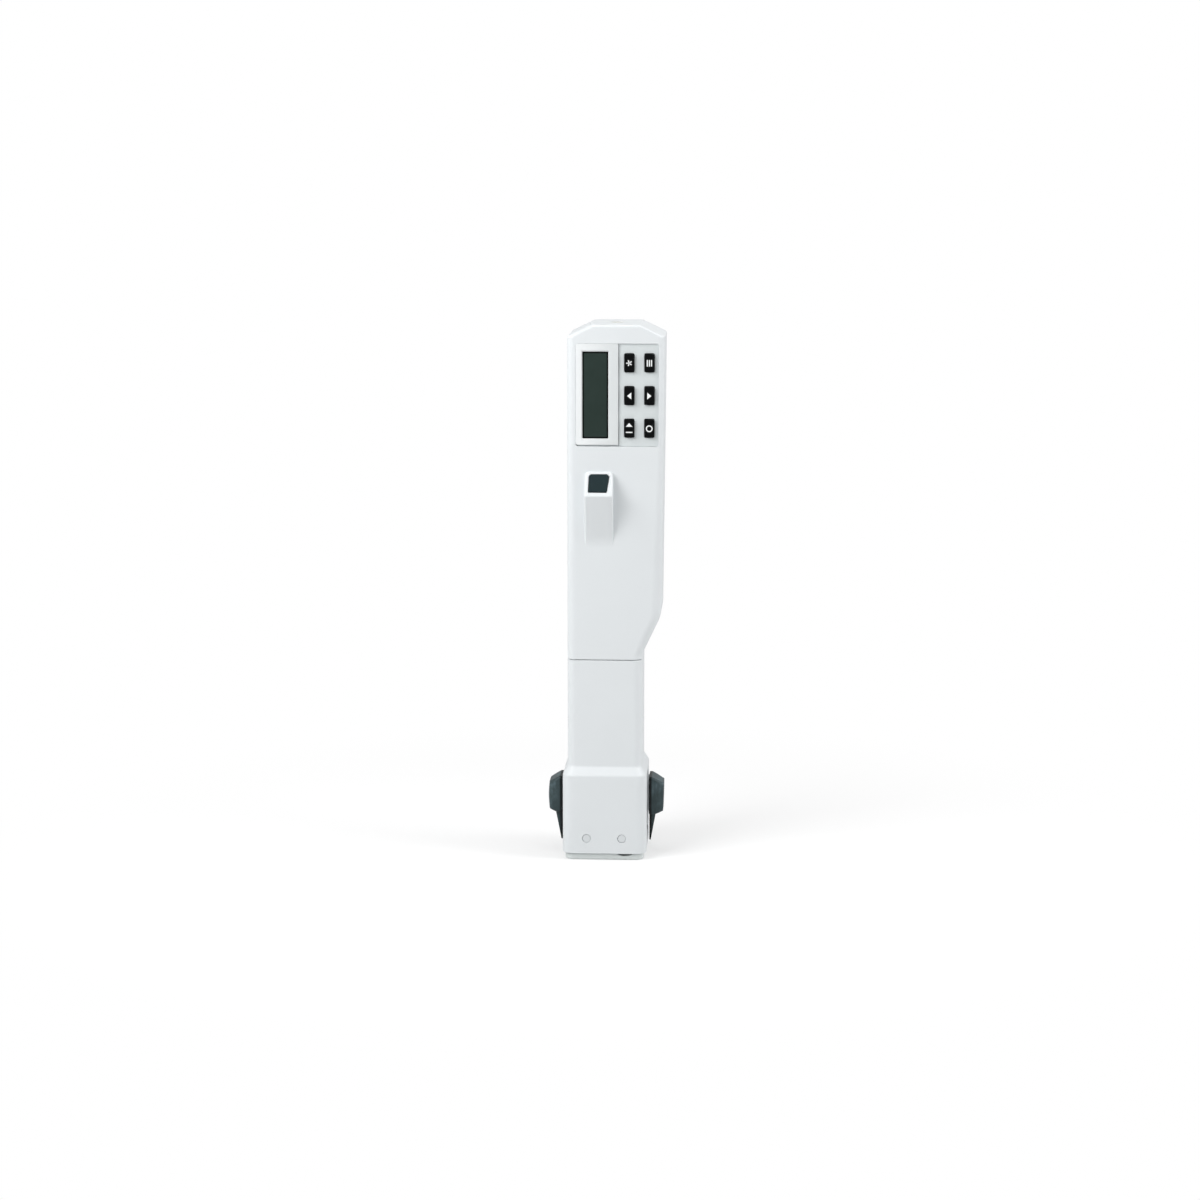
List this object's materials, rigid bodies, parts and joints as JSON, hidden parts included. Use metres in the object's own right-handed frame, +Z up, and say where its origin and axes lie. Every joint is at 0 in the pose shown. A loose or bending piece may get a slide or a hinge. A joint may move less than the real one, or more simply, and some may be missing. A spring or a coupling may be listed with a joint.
{
  "type": "repeating pipette",
  "caption": "Hand-held electronic repeating pipette: motor-driven plunger, display and keypad head, slanted dispensing key, and two side levers that release the tip.",
  "frame": {"origin": "on the tip socket's axis, in the plane of the foot ring's lower face", "axes": "+Z up along the plunger axis, -Y to the front with the display and keys, +X to the side that the head overhangs"},
  "size_m": [0.054, 0.0488, 0.2475],
  "materials": {
    "body_plastic": "light grey moulded, fine satin texture",
    "foot_plastic": "light grey moulded",
    "panel_plastic": "light grey moulded, satin",
    "keypad_plate": "grey, fine matt",
    "display_window": "clear lens over a dark display, glossy",
    "lcd_bezel": "dark matt",
    "key_rubber": "near black, soft matt",
    "silicone": "translucent grey silicone",
    "trigger_plastic": "dark grey, fine matt",
    "circuit_board": "green solder mask",
    "chip_plastic": "black moulded",
    "spring_steel": "drawn wire",
    "cell_sleeve": "shrink sleeve",
    "dark_plastic": "dark grey moulded",
    "socket_plastic": "black moulded",
    "contact_brass": "stamped strip",
    "steel": "ground",
    "gearbox_metal": "sintered",
    "plate_aluminium": "milled",
    "acetal": "natural acetal",
    "lever_plastic": "dark grey moulded, satin",
    "pin_plastic": "light grey pin heads",
    "screw_steel": "socket-head screw, dark zinc"
  },
  "bodies": {
    "housing": {"front_shell": "body_plastic", "rear_shell": "body_plastic", "lower_housing": "body_plastic", "base_ring": "foot_plastic", "display_panel": "panel_plastic", "display_window": "display_window", "lcd_module": "lcd_bezel", "keypad_plate": "keypad_plate", "keypad_mat": "silicone", "main_board": "circuit_board", "board_components": "chip_plastic", "dispensing_key_spring": "spring_steel", "key_switch": "chip_plastic", "battery_cells": "cell_sleeve", "battery_cradle": "dark_plastic", "battery_contacts": "contact_brass", "charging_socket": "socket_plastic", "motor": "steel", "gearbox": "gearbox_metal", "bearing_plate": "plate_aluminium", "screw_bearing": "steel", "guide_rods": "steel", "lower_guide_plate": "plate_aluminium", "tip_holder": "dark_plastic", "tip_sensor_board": "circuit_board", "pivot_pins": "pin_plastic", "lever_spring_right": "spring_steel", "lever_spring_left": "spring_steel", "case_screws": "screw_steel", "base_screws": "screw_steel"},
    "key_star_body": {"key_star": "key_rubber"},
    "key_menu_body": {"key_menu": "key_rubber"},
    "key_back_body": {"key_back": "key_rubber"},
    "key_next_body": {"key_next": "key_rubber"},
    "key_step_body": {"key_step": "key_rubber"},
    "key_ring_body": {"key_ring": "key_rubber"},
    "dispensing_key_body": {"dispensing_key": "trigger_plastic"},
    "plunger_drive": {"drive_nut": "acetal", "piston_ram": "steel", "plunger_gripper": "acetal"},
    "screw": {"lead_screw": "steel"},
    "lever_right": {"release_lever_right": "lever_plastic"},
    "lever_left": {"release_lever_left": "lever_plastic"}
  },
  "joints": [
    {"name": "key_star_press", "type": "slide", "parent": "housing", "child": "key_star_body", "axis": [0, 1, 0], "range_m": [0, 0.0008], "stiffness_N_per_m": 150, "springref_m": -0.002},
    {"name": "key_menu_press", "type": "slide", "parent": "housing", "child": "key_menu_body", "axis": [0, 1, 0], "range_m": [0, 0.0008], "stiffness_N_per_m": 150, "springref_m": -0.002},
    {"name": "key_back_press", "type": "slide", "parent": "housing", "child": "key_back_body", "axis": [0, 1, 0], "range_m": [0, 0.0008], "stiffness_N_per_m": 150, "springref_m": -0.002},
    {"name": "key_next_press", "type": "slide", "parent": "housing", "child": "key_next_body", "axis": [0, 1, 0], "range_m": [0, 0.0008], "stiffness_N_per_m": 150, "springref_m": -0.002},
    {"name": "key_step_press", "type": "slide", "parent": "housing", "child": "key_step_body", "axis": [0, 1, 0], "range_m": [0, 0.0008], "stiffness_N_per_m": 150, "springref_m": -0.002},
    {"name": "key_ring_press", "type": "slide", "parent": "housing", "child": "key_ring_body", "axis": [0, 1, 0], "range_m": [0, 0.0008], "stiffness_N_per_m": 150, "springref_m": -0.002},
    {"name": "dispensing_key_press", "type": "slide", "parent": "housing", "child": "dispensing_key_body", "axis": [0, 0.8141, -0.5807], "range_m": [0, 0.0015], "stiffness_N_per_m": 250, "springref_m": -0.002, "deforming": ["dispensing_key_spring"]},
    {"name": "plunger_travel", "type": "slide", "parent": "housing", "child": "plunger_drive", "axis": [0, 0, 1], "range_m": [0, 0.045]},
    {"name": "screw_spin", "type": "hinge", "parent": "housing", "child": "screw", "pos_m": [0, 0, 0.1], "axis": [0, 0, 1], "range_deg": [0, 2701]},
    {"name": "lever_right_swing", "type": "hinge", "parent": "housing", "child": "lever_right", "pos_m": [0.00815, 0, 0.01025], "axis": [0, -1, 0], "range_deg": [0, 8], "stiffness_Nm_per_rad": 0.2, "springref_deg": -17.19, "deforming": ["lever_spring_right"]},
    {"name": "lever_left_swing", "type": "hinge", "parent": "housing", "child": "lever_left", "pos_m": [-0.00815, 0, 0.01025], "axis": [0, 1, 0], "range_deg": [0, 8], "stiffness_Nm_per_rad": 0.2, "springref_deg": -17.19, "deforming": ["lever_spring_left"]}
  ],
  "couplings": [
    {"joint": "screw_spin", "follows": "plunger_travel", "rad_per_m": 1047.2}
  ]
}
